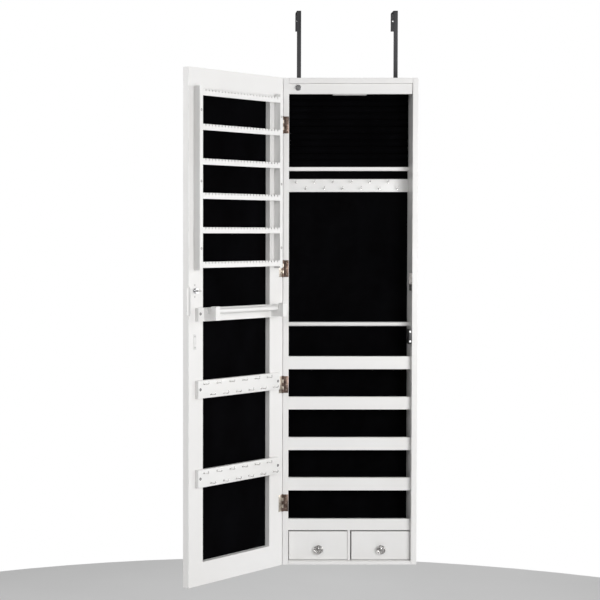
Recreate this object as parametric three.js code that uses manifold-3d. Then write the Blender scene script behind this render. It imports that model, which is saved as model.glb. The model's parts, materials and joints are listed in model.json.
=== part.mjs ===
// Over-the-door jewelry armoire: a shallow white wooden cabinet that hangs from two steel hooks,
// with a mirrored door that carries an earring rack, a bracelet bar and two hook strips.
//
// Millimetres, +Z up, the front faces -Y. The origin is the middle of the cabinet's back face.
// Heights in this file are measured from the underside of the cabinet.

import * as THREE from 'three';
import { mergeVertices } from 'three/addons/utils/BufferGeometryUtils.js';
import Module from 'manifold-3d';

const wasm = await Module();
wasm.setup();

// ---------------------------------------------------------------- driving dimensions

// Cabinet shell
const CAB_W = 332; // outer width
const CAB_H = 1205.5; // outer height
const CAB_BOTTOM = -5.5; // underside; all heights are measured from a level just above it
const ORIGIN_HEIGHT = 600; // of the assembly's origin
const CAB_D = 78; // depth, back face to front edge
const PANEL_T = 13.5; // side and top panels
const BASE_T = 8; // bottom panel
const BACK_T = 5; // back board
const FIT = 0.3; // clearance between neighbouring pieces
const INSET = 16; // how far shelf lips and drawer fronts sit behind the front edge
const HEADER_INSET = 5;
const FASCIA_T = 12; // thickness of header and drawer fronts
const HEADER_BOTTOM = 1160.8;

// Fittings of the upper compartment
const CUSHION_BOTTOM = 983.5;
const CUSHION_T = 21;
const LEDGE_BOTTOM = 973.6;
const LEDGE_T = 9.2;
const LEDGE_SETBACK = 50; // ledge front edge, behind the cabinet's front edge
const NECK_STRIP_BOTTOM = 921.1;
const NECK_STRIP_H = 32.2;
const NECK_STRIP_FRONT = 62; // strip face, behind the cabinet's front edge
const ROD_HEIGHT = 590.2;
const ROD_R = 5.2;
const ROD_SETBACK = 45;

// Shelves, bottom shelf first
const SHELF_BOTTOMS = [76.9, 176.8, 277.6, 379, 479.4];
const LIP_HEIGHTS = [28.5, 31.7, 31.6, 31.5, 31.8];
const LIP_T = 10;
const SHELF_T = 6;

// Drawers
const DIVIDER_T = 7;
const DRAWER_FRONT_W = 145;
const DRAWER_FRONT_BOTTOM = 3.6;
const DRAWER_FRONT_TOP = 73.9;
const DRAWER_SHIFT = 1.15; // each drawer rests a little to the right of the middle of its bay
const DRAWER_BOX_W = 137;
const DRAWER_BOX_H = 54;
const DRAWER_BOX_BACK = 8; // rear wall of the box, in front of the cabinet's back face
const DRAWER_WALL = 4;
const DRAWER_FLOOR = 3;
const KNOB_HEIGHT = 30;
const KNOB_R = 11.5;
const KNOB_REACH = 14.6; // stays behind the closed door

// Lamp and switch in the header
const LAMP_W = 150;
const LAMP_LENS_W = 84;
const LAMP_D = 19;
const LAMP_LENS_DROP = 1.3; // the lens hangs this far below the header's lower edge
const LAMP_BODY_RISE = 3; // the rest of the housing ends this far above it
const SWITCH_X = -130;
const SWITCH_HEIGHT = 1176;
const BEZEL_R = 8;
const BEZEL_T = 3;
const BUTTON_R = 5;
const BUTTON_BORE_R = 5.3;
const BUTTON_T = 2.3;
const BUTTON_REST = 2.2; // rear of the button, in front of the header, when it isn't pressed

// Over-door hooks: straps that lie in grooves in the cabinet's back
const HOOK_X = 121.5;
const STRAP_W = 10.5;
const STRAP_T = 2;
const STRAP_BOTTOM = 1040;
const STRAP_TOP = 1377;
const STRAP_REACH = 47; // from the cabinet's back face to the far side of the lip
const STRAP_LIP = 46;
const STRAP_BEND_R = 4;
const STRAP_SUNK = 0.1; // how far the strap lies below the back face
const STRAP_HOLES = 3;
const STRAP_HOLE_PITCH = 50;
const STRAP_HOLE_MARGIN = 12; // lowest hole, above the strap's end
const STRAP_HOLE_R = 2.2;
const LIP_HOLE_DROP = 20; // hole in the lip, below the top of the strap
const LIP_HOLE_R = 2;

// Door
const DOOR_W = CAB_W;
const DOOR_T = 18;
const DOOR_BORDER = 47.7; // width of the white border at the sides
const DOOR_BORDER_TOP = 56;
const DOOR_BORDER_BOTTOM = 53.5;
const DOOR_RECESS = 13; // depth of the velvet field behind the door's inner face
const BACKING_T = 1.2;
const MIRROR_T = 3;
const REBATE = 8; // how far the mirror reaches behind the border
const DOOR_GAP = 2; // between the cabinet's front edge and the closed door
const DOOR_REST_DEG = 135; // opening angle of the stored position
const HINGE_CLEAR = 0.9; // from the cabinet's side to the hinge axis

// Hinges: lowest first
const HINGE_HEIGHTS = [148.8, 443, 730, 1084];
const HINGE_H = 41.6;
const LEAF_REACH = 13.8; // from the hinge axis to a leaf's far edge
const LEAF_T = 0.6;
const LEAF_CLEAR = 0.2; // from the turning knuckles to a leaf's plate
const PIN_OVERHANG = 0.6; // of the pin, beyond the knuckles at each end
const KNUCKLE_R = 2.2;
const KNUCKLE_ROOM_R = 2.6; // grooves for the knuckles in the panel's and the door's edges
const KNUCKLE_BORE_R = 1.35;
const PIN_R = 1.1;
const KNUCKLES = 5;
const KNUCKLE_GAP = 0.3;

// Pieces on the door's inner face
const RACK_LEFT = 24;
const RACK_RIGHT = 316.8;
const RACK_BOTTOM = 732;
const RACK_TOP = 1156;
const RACK_H = 21.5;
const RACK_SIDE_T = 10;
const RACK_FOOT_H = 7; // height of the narrower foot of each side
const RACK_FOOT_INSET = 1.8;
const RAIL_BOTTOMS = [737, 817, 896.5, 975.5, 1055, 1134.5];
const RAIL_H = 14;
const RAIL_T = 4;
const NOTCH_PITCH = 11;
const NOTCH_W = 3.6;
const NOTCH_DEPTH = 4.2;
const STRIP_LEFT = 21;
const STRIP_RIGHT = 310.5;
const STRIP_T = 10.7;
const DOOR_STRIP_BOTTOMS = [225.8, 433.6];
const DOOR_STRIP_H = 41.5;
const BAR_BOTTOM = 612.5;
const BAR_H = 31.5;
const BAR_BRACKET_REACH = 38;
const BAR_BRACKET_T = 15;
const BAR_BRACKET_CENTRES = [47, 284.5];
const BRACELET_ROD_R = 6;
const BRACELET_ROD_REACH = 17; // rod axis, in front of the bar's plate
const BRACELET_ROD_DROP = 8; // rod axis, below the top of the bar's plate
const ROD_OVERHANG = 6; // of the bracelet rod, beyond the middle of each bracket
const BRACKET_MARGIN = 3; // from the bar's lower edge to its brackets
const BRACKET_BACK_DROP = 1.5; // from the bar's upper edge to the rear arm of a bracket
const BRACKET_FRONT_RISE = 4; // of a bracket's front arm above the bar
const PULL_R = 6;
const PULL_BOTTOM = 625;
const PULL_TOP = 693;

// Wire hooks, in an upper and a lower row on each strip
const HOOKS_PER_ROW = 6;
const HOOK_ROW_MARGIN = 8; // from a row to the strip's nearer edge
const NECK_ROW_STARTS = [-130, -106];
const NECK_HOOK_PITCH = 46.2;
const DOOR_ROW_STARTS = [68.2, 45.4];
const DOOR_HOOK_PITCH = 44.6;
const HOOK_BEND = 3;
const WIRE_R = 1.2;
const WIRE_SIDES = 6;
const HOOK_REACH = 15;
const HOOK_RISE = 5.5;

// Lock and magnetic catch
const LOCK_U = 311.5; // distance of the lock from the door's hinge edge
const LOCK_HEIGHT = 683.5;
const LOCK_R = 6;
const LOCK_FLANGE_R = 8.5;
const LOCK_FLANGE_T = 0.9;
const LOCK_BORE_R = 2.9;
const PLUG_R = 2.6;
const LOCK_REACH = 8;
const CAM_L = 11;
const CAM_W = 5;
const CAM_T = 2.5;
const STRIKE_BOTTOM = 675;
const STRIKE_LIP_BOTTOM = 691;
const STRIKE_TOP = 719;
const STRIKE_T = 2;
const STRIKE_LIP = 5.5; // how far the flange stands out from the strike's plate
const STRIKE_D = 22;
const CATCH_BOTTOM = 543;
const CATCH_TOP = 580;
const CATCH_W = 8;
const CATCH_D = 23.5;
const CATCH_PLATE_BOTTOM = 547;
const CATCH_PLATE_TOP = 583;
const CATCH_PLATE_W = 8;
const CATCH_PLATE_T = 0.8;

// Derived positions
const CAB_TOP = CAB_BOTTOM + CAB_H;
const CEILING = CAB_TOP - PANEL_T; // underside of the top panel
const BASE_TOP = CAB_BOTTOM + BASE_T;
const INNER_X = CAB_W / 2 - PANEL_T;
const FRONT_Y = -CAB_D;
const INSET_Y = FRONT_Y + INSET;
const FASCIA_BACK_Y = INSET_Y + FASCIA_T;
const HEADER_Y = FRONT_Y + HEADER_INSET;
const BACK_BOARD_Y = -BACK_T;
const CAVITY_BACK_Y = BACK_BOARD_Y - FIT;
const HINGE_X = -CAB_W / 2 - HINGE_CLEAR;
const HINGE_OFFSET = -DOOR_W / 2 - HINGE_X; // from the hinge axis to the door's edge
const HINGE_Y = FRONT_Y - DOOR_GAP / 2;

// ---------------------------------------------------------------- finishes

const FINISHES = {
  white_paint: { color: 0xf0eeec, roughness: 0.42, metalness: 0 },
  velvet: { color: 0x0a090b, roughness: 0.95, metalness: 0 },
  mirror: { color: 0xd8dde0, roughness: 0.03, metalness: 1 },
  hinge_bronze: { color: 0x6b4a35, roughness: 0.38, metalness: 1 },
  hanger_steel: { color: 0x7b7c7f, roughness: 0.35, metalness: 1 },
  chrome: { color: 0xc4c6c8, roughness: 0.15, metalness: 1 },
  dark_steel: { color: 0x4c4a49, roughness: 0.4, metalness: 1 },
  white_plastic: { color: 0xeeeeea, roughness: 0.3, metalness: 0 },
  crystal: { color: 0xe6e4e2, roughness: 0.03, metalness: 0, transparent: true, opacity: 0.5 },
};

const armoire = new THREE.Group();
const cabinet = new THREE.Group();
cabinet.position.z = -ORIGIN_HEIGHT;
armoire.add(cabinet);

const doorSwing = new THREE.Group(); // turns about the hinge axis
doorSwing.position.set(HINGE_X, HINGE_Y, 0);
doorSwing.rotation.z = THREE.MathUtils.degToRad(-DOOR_REST_DEG);
cabinet.add(doorSwing);

// In the door's own group x runs from its hinge edge to its free edge, and y = 0 is its inner
// face, with +y towards the cabinet when the door is shut.
const door = new THREE.Group();
door.position.set(HINGE_OFFSET, -DOOR_GAP / 2, 0);
doorSwing.add(door);

function add(group, name, finish, geometry) {
  const mesh = new THREE.Mesh(geometry, new THREE.MeshStandardMaterial(FINISHES[finish]));
  mesh.name = name;
  group.add(mesh);
  return mesh;
}

// ---------------------------------------------------------------- shape helpers

// A box between two corners.
function block(x0, x1, y0, y1, z0, z1) {
  const geometry = new THREE.BoxGeometry(x1 - x0, y1 - y0, z1 - z0);
  geometry.translate((x0 + x1) / 2, (y0 + y1) / 2, (z0 + z1) / 2);
  return geometry;
}

// A cylinder along Y between y0 and y1.
function cylinderY(x, z, y0, y1, radius, sides = 24) {
  const geometry = new THREE.CylinderGeometry(radius, radius, y1 - y0, sides);
  geometry.translate(x, (y0 + y1) / 2, z);
  return geometry;
}

// A cylinder along X between x0 and x1.
function cylinderX(y, z, x0, x1, radius, sides = 24) {
  const geometry = new THREE.CylinderGeometry(radius, radius, x1 - x0, sides);
  geometry.rotateZ(Math.PI / 2);
  geometry.translate((x0 + x1) / 2, y, z);
  return geometry;
}

// A cylinder along Z between z0 and z1.
function cylinderZ(x, y, z0, z1, radius, sides = 12) {
  const geometry = new THREE.CylinderGeometry(radius, radius, z1 - z0, sides);
  geometry.rotateX(Math.PI / 2);
  geometry.translate(x, y, (z0 + z1) / 2);
  return geometry;
}

// Turns a profile about Y. Its points are [radius, y] pairs, starting and ending on the axis.
function turnedY(x, z, points, sides) {
  const geometry = new THREE.LatheGeometry(points.map(([r, y]) => new THREE.Vector2(r, y)), sides);
  geometry.translate(x, 0, z);
  return geometry;
}

// A closed mesh as a solid for joining and cutting.
function solid(geometry) {
  const bare = geometry.clone();
  bare.deleteAttribute('normal');
  bare.deleteAttribute('uv');
  const merged = mergeVertices(bare, 1e-4);
  const index = merged.index.array;
  const triangles = [];
  for (let i = 0; i < index.length; i += 3) {
    const [a, b, c] = [index[i], index[i + 1], index[i + 2]];
    if (a !== b && b !== c && c !== a) {
      triangles.push(a, b, c);
    }
  }
  const mesh = new wasm.Mesh({
    numProp: 3,
    vertProperties: new Float32Array(merged.attributes.position.array),
    triVerts: new Uint32Array(triangles),
  });
  return new wasm.Manifold(mesh);
}

// The solid's surface as a geometry.
function surface(body) {
  const mesh = body.getMesh();
  const geometry = new THREE.BufferGeometry();
  geometry.setAttribute('position', new THREE.BufferAttribute(new Float32Array(mesh.vertProperties), 3));
  geometry.setIndex(new THREE.BufferAttribute(new Uint32Array(mesh.triVerts), 1));
  geometry.computeVertexNormals();
  return geometry;
}

// Joins the geometries of the first list and cuts away those of the second.
function carve(joined, removed = []) {
  let body = solid(joined[0]);
  for (const geometry of joined.slice(1)) {
    body = body.add(solid(geometry));
  }
  for (const geometry of removed) {
    body = body.subtract(solid(geometry));
  }
  return surface(body);
}

// Grooves around the hinge axis at (x, y), one at each hinge, where the knuckles need room.
function knuckleRooms(x, y) {
  const half = HINGE_H / 2 + 1;
  return HINGE_HEIGHTS.map((z) => cylinderZ(x, y, z - half, z + half, KNUCKLE_ROOM_R, 16));
}

// ---------------------------------------------------------------- cabinet shell

// Grooves in the cabinet's back for the two straps.
function strapGrooves() {
  const half = STRAP_W / 2 + FIT;
  const depth = STRAP_SUNK + STRAP_T + FIT;
  return [-HOOK_X, HOOK_X].map((x) => (
    block(x - half, x + half, -depth, 1, STRAP_BOTTOM - FIT, CAB_TOP + 1)
  ));
}

function buildShell() {
  const half = CAB_W / 2;
  const leftPanel = block(-half, -INNER_X, FRONT_Y, 0, CAB_BOTTOM, CAB_TOP);
  add(cabinet, 'side_panel_left', 'white_paint', carve([leftPanel], knuckleRooms(HINGE_X, HINGE_Y)));
  add(cabinet, 'side_panel_right', 'white_paint', block(
    INNER_X, half, FRONT_Y, 0, CAB_BOTTOM, CAB_TOP,
  ));

  const span = INNER_X - FIT;
  const lid = block(-span, span, FRONT_Y, 0, CEILING, CAB_TOP);
  add(cabinet, 'top_panel', 'white_paint', carve([lid], strapGrooves()));
  add(cabinet, 'bottom_panel', 'white_paint', block(-span, span, FRONT_Y, 0, CAB_BOTTOM, BASE_TOP));
  const board = block(-span, span, BACK_BOARD_Y, 0, BASE_TOP + FIT, CEILING - FIT);
  add(cabinet, 'back_board', 'velvet', carve([board], strapGrooves()));
  const header = block(
    -span, span, HEADER_Y, HEADER_Y + FASCIA_T, HEADER_BOTTOM, CEILING - FIT,
  );
  add(cabinet, 'header_rail', 'white_paint', header);
}

// ---------------------------------------------------------------- wire hooks and their strips

// One wire hook that leaves a face at (x, y, z), reaches out along `outward` (+1 or -1 in Y)
// and turns up at its tip. Its root is sunk a little into the face.
function wireHook(x, y, z, outward) {
  const at = (reach, rise) => new THREE.Vector3(x, y + outward * reach, z + rise);
  const bendStart = HOOK_REACH - HOOK_BEND;
  const path = new THREE.CurvePath();
  path.add(new THREE.LineCurve3(at(-1, 0), at(bendStart, 0)));
  path.add(new THREE.QuadraticBezierCurve3(
    at(bendStart, 0),
    at(HOOK_REACH, 0),
    at(HOOK_REACH, HOOK_BEND),
  ));
  path.add(new THREE.LineCurve3(at(HOOK_REACH, HOOK_BEND), at(HOOK_REACH, HOOK_RISE)));
  const corners = Array.from({ length: WIRE_SIDES }, (_, i) => {
    const angle = (i / WIRE_SIDES) * Math.PI * 2;
    return new THREE.Vector2(WIRE_R * Math.cos(angle), WIRE_R * Math.sin(angle));
  });
  return new THREE.ExtrudeGeometry(new THREE.Shape(corners), { steps: 7, extrudePath: path });
}

// A strip with two staggered rows of hooks on its face.
function hookStrip(plate, faceY, outward, rows) {
  const hooks = rows.flatMap(({ start, pitch, height }) => (
    Array.from({ length: HOOKS_PER_ROW }, (_, i) => (
      wireHook(start + i * pitch, faceY, height, outward)
    ))
  ));
  return carve([plate, ...hooks]);
}

// ---------------------------------------------------------------- upper compartment

function buildUpperCompartment() {
  const span = INNER_X - FIT;
  const cushionFront = CAVITY_BACK_Y - CUSHION_T;
  add(cabinet, 'ring_cushion', 'velvet', block(
    -span, span, cushionFront, CAVITY_BACK_Y, CUSHION_BOTTOM, CEILING - FIT,
  ));
  add(cabinet, 'cushion_ledge', 'white_paint', block(
    -span, span, FRONT_Y + LEDGE_SETBACK, CAVITY_BACK_Y, LEDGE_BOTTOM, LEDGE_BOTTOM + LEDGE_T,
  ));

  const stripFront = FRONT_Y + NECK_STRIP_FRONT;
  const stripTop = NECK_STRIP_BOTTOM + NECK_STRIP_H;
  const plate = block(-span, span, stripFront, CAVITY_BACK_Y, NECK_STRIP_BOTTOM, stripTop);
  const rows = [
    { start: NECK_ROW_STARTS[0], pitch: NECK_HOOK_PITCH, height: stripTop - HOOK_ROW_MARGIN },
    { start: NECK_ROW_STARTS[1], pitch: NECK_HOOK_PITCH, height: NECK_STRIP_BOTTOM + HOOK_ROW_MARGIN },
  ];
  add(cabinet, 'necklace_hook_strip', 'white_paint', hookStrip(plate, stripFront, -1, rows));

  const rod = cylinderX(FRONT_Y + ROD_SETBACK, ROD_HEIGHT, -span, span, ROD_R);
  add(cabinet, 'scarf_rod', 'white_paint', rod);
}

// ---------------------------------------------------------------- shelves

function buildShelves() {
  const span = INNER_X - FIT;
  SHELF_BOTTOMS.forEach((bottom, i) => {
    const lipBack = INSET_Y + LIP_T;
    add(cabinet, `shelf_lip_${i + 1}`, 'white_paint', block(
      -span, span, INSET_Y, lipBack, bottom, bottom + LIP_HEIGHTS[i],
    ));
    add(cabinet, `shelf_board_${i + 1}`, 'velvet', block(
      -span, span, lipBack + FIT, CAVITY_BACK_Y, bottom, bottom + SHELF_T,
    ));
  });
}

// ---------------------------------------------------------------- drawers

// A faceted crystal knob on a short collar. The profile is turned with eight sides.
function knob(x) {
  const face = INSET_Y - FIT;
  const tip = INSET_Y - KNOB_REACH;
  const profile = [
    [0, tip],
    [KNOB_R * 0.5, tip],
    [KNOB_R * 0.82, tip + 2.6],
    [KNOB_R, tip + 6.2],
    [KNOB_R * 0.72, tip + 10],
    [KNOB_R * 0.45, tip + 11.6],
    [KNOB_R * 0.5, face],
    [0, face],
  ];
  return turnedY(x, KNOB_HEIGHT, profile, 8);
}

function buildDrawers() {
  const half = DIVIDER_T / 2;
  const ceiling = SHELF_BOTTOMS[0] - FIT;
  add(cabinet, 'drawer_divider', 'white_paint', block(
    -half, half, INSET_Y, CAVITY_BACK_Y, BASE_TOP + FIT, ceiling,
  ));

  const bayCentre = (INNER_X + half) / 2;
  for (const [side, sign] of [['left', -1], ['right', 1]]) {
    const x = sign * bayCentre + DRAWER_SHIFT;
    const frontHalf = DRAWER_FRONT_W / 2;
    add(cabinet, `drawer_${side}_front`, 'white_paint', block(
      x - frontHalf, x + frontHalf, INSET_Y, FASCIA_BACK_Y, DRAWER_FRONT_BOTTOM, DRAWER_FRONT_TOP,
    ));

    const boxHalf = DRAWER_BOX_W / 2;
    const boxFront = FASCIA_BACK_Y + FIT;
    const boxBack = -DRAWER_BOX_BACK;
    const boxTop = DRAWER_FRONT_BOTTOM + DRAWER_BOX_H;
    const outer = block(x - boxHalf, x + boxHalf, boxFront, boxBack, DRAWER_FRONT_BOTTOM, boxTop);
    const inner = block(
      x - boxHalf + DRAWER_WALL, x + boxHalf - DRAWER_WALL,
      boxFront + DRAWER_WALL, boxBack - DRAWER_WALL,
      DRAWER_FRONT_BOTTOM + DRAWER_FLOOR, boxTop + 1,
    );
    add(cabinet, `drawer_${side}_box`, 'white_paint', carve([outer], [inner]));
    add(cabinet, `drawer_${side}_knob`, 'crystal', knob(x));
  }
}

// ---------------------------------------------------------------- lamp and switch

function buildLamp() {
  const back = HEADER_Y + FASCIA_T + FIT;
  const top = CEILING - FIT;
  const lensBottom = HEADER_BOTTOM - LAMP_LENS_DROP;
  const bodyBottom = HEADER_BOTTOM + LAMP_BODY_RISE;
  const body = block(-LAMP_W / 2, LAMP_W / 2, back, back + LAMP_D, bodyBottom, top);
  const nose = block(-LAMP_LENS_W / 2, LAMP_LENS_W / 2, back, back + LAMP_D, lensBottom, top);
  add(cabinet, 'lamp_housing', 'white_plastic', carve([body, nose]));

  const seat = HEADER_Y - FIT;
  const ring = cylinderY(SWITCH_X, SWITCH_HEIGHT, seat - BEZEL_T, seat, BEZEL_R, 32);
  const bore = cylinderY(SWITCH_X, SWITCH_HEIGHT, seat - BEZEL_T - 1, seat + 1, BUTTON_BORE_R, 32);
  add(cabinet, 'switch_bezel', 'chrome', carve([ring], [bore]));
  const rear = HEADER_Y - BUTTON_REST - FIT;
  const button = cylinderY(SWITCH_X, SWITCH_HEIGHT, rear - BUTTON_T, rear, BUTTON_R, 24);
  add(cabinet, 'switch_button', 'white_plastic', button);
}

// ---------------------------------------------------------------- over-door hooks

// The side view of one bent strap, in (y, z): up the back, over the door, and down as a lip.
function strapOutline() {
  const near = -STRAP_SUNK - STRAP_T;
  const far = STRAP_REACH;
  const outer = STRAP_BEND_R;
  const inner = outer - STRAP_T;
  const bendZ = STRAP_TOP - outer;
  const shape = new THREE.Shape();
  shape.moveTo(near, STRAP_BOTTOM);
  shape.lineTo(near, bendZ);
  shape.absarc(near + outer, bendZ, outer, Math.PI, Math.PI / 2, true);
  shape.lineTo(far - outer, STRAP_TOP);
  shape.absarc(far - outer, bendZ, outer, Math.PI / 2, 0, true);
  shape.lineTo(far, STRAP_TOP - STRAP_LIP);
  shape.lineTo(far - STRAP_T, STRAP_TOP - STRAP_LIP);
  shape.lineTo(far - STRAP_T, bendZ);
  shape.absarc(far - outer, bendZ, inner, 0, Math.PI / 2, false);
  shape.lineTo(near + outer, STRAP_TOP - STRAP_T);
  shape.absarc(near + outer, bendZ, inner, Math.PI / 2, Math.PI, false);
  shape.lineTo(near + STRAP_T, STRAP_BOTTOM);
  return shape;
}

function buildHangers() {
  const toWorld = new THREE.Matrix4().makeBasis(
    new THREE.Vector3(0, 1, 0),
    new THREE.Vector3(0, 0, 1),
    new THREE.Vector3(1, 0, 0),
  );
  for (const [side, x] of [['left', -HOOK_X], ['right', HOOK_X]]) {
    const strap = new THREE.ExtrudeGeometry(strapOutline(), {
      depth: STRAP_W, bevelEnabled: false, curveSegments: 4,
    });
    strap.applyMatrix4(toWorld);
    strap.translate(x - STRAP_W / 2, 0, 0);
    const holes = Array.from({ length: STRAP_HOLES }, (_, i) => {
      const z = STRAP_BOTTOM + STRAP_HOLE_MARGIN + i * STRAP_HOLE_PITCH;
      return cylinderY(x, z, -2 * STRAP_T, 1, STRAP_HOLE_R, 12);
    });
    const lipHoleZ = STRAP_TOP - LIP_HOLE_DROP;
    const lipHole = cylinderY(x, lipHoleZ, STRAP_REACH - 2 * STRAP_T, STRAP_REACH + 1, LIP_HOLE_R, 12);
    add(cabinet, `hanger_${side}`, 'hanger_steel', carve([strap], [...holes, lipHole]));
  }
}

// ---------------------------------------------------------------- hinges

// Height of the k-th knuckle's lower and upper end, above the middle of the hinge.
function knuckleSpan(k) {
  const pitch = HINGE_H / KNUCKLES;
  const low = -HINGE_H / 2 + k * pitch;
  return [low + KNUCKLE_GAP / 2, low + pitch - KNUCKLE_GAP / 2];
}

// One hinge leaf: its plate, and a tab and a knuckle at every second place on the hinge axis.
// The axis is at (axisX, axisY), the plate runs from plateX0 to plateX1.
function hingeLeaf({ axisX, axisY, plateX0, plateX1, plateY0, plateY1, z, first, withPin }) {
  const pieces = [block(plateX0, plateX1, plateY0, plateY1, z - HINGE_H / 2, z + HINGE_H / 2)];
  const cuts = [];
  for (let k = first; k < KNUCKLES; k += 2) {
    const [low, high] = knuckleSpan(k);
    pieces.push(block(axisX, plateX0 + 0.1, plateY0, plateY1, z + low, z + high));
    pieces.push(cylinderZ(axisX, axisY, z + low, z + high, KNUCKLE_R));
  }
  if (withPin) {
    const pinHalf = HINGE_H / 2 + PIN_OVERHANG;
    pieces.push(cylinderZ(axisX, axisY, z - pinHalf, z + pinHalf, PIN_R));
  } else {
    cuts.push(cylinderZ(axisX, axisY, z - HINGE_H, z + HINGE_H, KNUCKLE_BORE_R));
  }
  return carve(pieces, cuts);
}

function buildHinges() {
  HINGE_HEIGHTS.forEach((z, i) => {
    add(cabinet, `hinge_cabinet_leaf_${i + 1}`, 'hinge_bronze', hingeLeaf({
      axisX: HINGE_X,
      axisY: HINGE_Y,
      plateX0: HINGE_X + KNUCKLE_R + LEAF_CLEAR,
      plateX1: HINGE_X + LEAF_REACH,
      plateY0: FRONT_Y - FIT - LEAF_T,
      plateY1: FRONT_Y - FIT,
      z,
      first: 0,
      withPin: true,
    }));
    add(door, `hinge_door_leaf_${i + 1}`, 'hinge_bronze', hingeLeaf({
      axisX: -HINGE_OFFSET,
      axisY: DOOR_GAP / 2,
      plateX0: -HINGE_OFFSET + KNUCKLE_R + LEAF_CLEAR,
      plateX1: LEAF_REACH - HINGE_OFFSET,
      plateY0: FIT,
      plateY1: FIT + LEAF_T,
      z,
      first: 1,
      withPin: false,
    }));
  });
}

// ---------------------------------------------------------------- door

function buildDoor() {
  const blank = block(0, DOOR_W, -DOOR_T, 0, CAB_BOTTOM, CAB_TOP);
  const left = DOOR_BORDER;
  const right = DOOR_W - DOOR_BORDER;
  const bottom = CAB_BOTTOM + DOOR_BORDER_BOTTOM;
  const top = CAB_TOP - DOOR_BORDER_TOP;
  const field = block(left, right, -DOOR_T - 1, 1, bottom, top);
  const rebateDepth = DOOR_T - DOOR_RECESS - BACKING_T - FIT;
  const rebate = block(
    left - REBATE, right + REBATE, -DOOR_T - 1, -DOOR_T + rebateDepth, bottom - REBATE, top + REBATE,
  );
  const lockHole = cylinderY(LOCK_U, LOCK_HEIGHT, -DOOR_T - 1, 1, LOCK_R + FIT);
  const pull = new THREE.CapsuleGeometry(PULL_R, PULL_TOP - PULL_BOTTOM - 2 * PULL_R, 4, 16);
  pull.rotateX(Math.PI / 2);
  pull.translate(DOOR_W, 0, (PULL_TOP + PULL_BOTTOM) / 2);
  const grooves = knuckleRooms(-HINGE_OFFSET, DOOR_GAP / 2);
  const cuts = [field, rebate, lockHole, pull, ...grooves];
  add(door, 'door_frame', 'white_paint', carve([blank], cuts));

  add(door, 'door_backing', 'velvet', block(
    left + FIT, right - FIT, -DOOR_RECESS - BACKING_T, -DOOR_RECESS, bottom + FIT, top - FIT,
  ));
  const edge = REBATE - FIT;
  const mirrorFront = -DOOR_T + 0.4;
  add(door, 'mirror', 'mirror', block(
    left - edge, right + edge, mirrorFront, mirrorFront + MIRROR_T, bottom - edge, top + edge,
  ));
}

// One notched rail of the earring rack.
function rackRail(bottom) {
  const x0 = RACK_LEFT + RACK_SIDE_T + FIT;
  const x1 = RACK_RIGHT - RACK_SIDE_T - FIT;
  const top = bottom + RAIL_H;
  const rail = block(x0, x1, RACK_H - RAIL_T, RACK_H, bottom, top);
  const count = Math.floor((x1 - x0) / NOTCH_PITCH);
  const first = (x0 + x1) / 2 - ((count - 1) / 2) * NOTCH_PITCH;
  const notches = Array.from({ length: count }, (_, i) => {
    const x = first + i * NOTCH_PITCH;
    return block(
      x - NOTCH_W / 2, x + NOTCH_W / 2, RACK_H - RAIL_T - 1, RACK_H + 1, top - NOTCH_DEPTH, top + 1,
    );
  });
  return carve([rail], notches);
}

// One upright of the rack on its narrower foot.
function rackSide(x0) {
  const x1 = x0 + RACK_SIDE_T;
  const bar = block(x0, x1, RACK_FOOT_H, RACK_H, RACK_BOTTOM, RACK_TOP);
  const foot = block(
    x0 + RACK_FOOT_INSET, x1 - RACK_FOOT_INSET, FIT, RACK_FOOT_H + 1, RACK_BOTTOM, RACK_TOP,
  );
  return carve([bar, foot]);
}

function buildRack() {
  add(door, 'rack_side_hinge', 'white_paint', rackSide(RACK_LEFT));
  add(door, 'rack_side_free', 'white_paint', rackSide(RACK_RIGHT - RACK_SIDE_T));
  RAIL_BOTTOMS.forEach((bottom, i) => {
    add(door, `rack_rail_${i + 1}`, 'white_paint', rackRail(bottom));
  });
}

function buildDoorStrips() {
  const names = ['hook_strip_lower', 'hook_strip_upper'];
  DOOR_STRIP_BOTTOMS.forEach((bottom, i) => {
    const top = bottom + DOOR_STRIP_H;
    const plate = block(STRIP_LEFT, STRIP_RIGHT, FIT, STRIP_T, bottom, top);
    const rows = [
      { start: DOOR_ROW_STARTS[0], pitch: DOOR_HOOK_PITCH, height: top - HOOK_ROW_MARGIN },
      { start: DOOR_ROW_STARTS[1], pitch: DOOR_HOOK_PITCH, height: bottom + HOOK_ROW_MARGIN },
    ];
    add(door, names[i], 'white_paint', hookStrip(plate, STRIP_T, 1, rows));
  });
}

// A flat bar with two open-topped brackets, and the rod that lies in them.
function buildBraceletBar() {
  const rodY = STRIP_T + BRACELET_ROD_REACH;
  const barTop = BAR_BOTTOM + BAR_H;
  const rodZ = barTop - BRACELET_ROD_DROP;
  const plate = block(STRIP_LEFT, STRIP_RIGHT, FIT, STRIP_T, BAR_BOTTOM, barTop);
  const brackets = [];
  const slots = [];
  for (const x of BAR_BRACKET_CENTRES) {
    const x0 = x - BAR_BRACKET_T / 2;
    const x1 = x + BAR_BRACKET_T / 2;
    const reach = STRIP_T + BAR_BRACKET_REACH;
    const bottom = BAR_BOTTOM + BRACKET_MARGIN;
    brackets.push(block(x0, x1, STRIP_T - 1, rodY, bottom, barTop - BRACKET_BACK_DROP));
    brackets.push(block(x0, x1, rodY, reach, bottom, barTop + BRACKET_FRONT_RISE));
    const saddle = BRACELET_ROD_R + FIT;
    slots.push(cylinderX(rodY, rodZ, x0 - 1, x1 + 1, saddle));
    slots.push(block(
      x0 - 1, x1 + 1, rodY - saddle, rodY + saddle, rodZ, barTop + BRACKET_FRONT_RISE + 1,
    ));
  }
  add(door, 'bracelet_bar_bracket', 'white_paint', carve([plate, ...brackets], slots));

  const [first, last] = BAR_BRACKET_CENTRES;
  const rod = cylinderX(rodY, rodZ, first - ROD_OVERHANG, last + ROD_OVERHANG, BRACELET_ROD_R);
  add(door, 'bracelet_rod', 'white_paint', rod);
}

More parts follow.
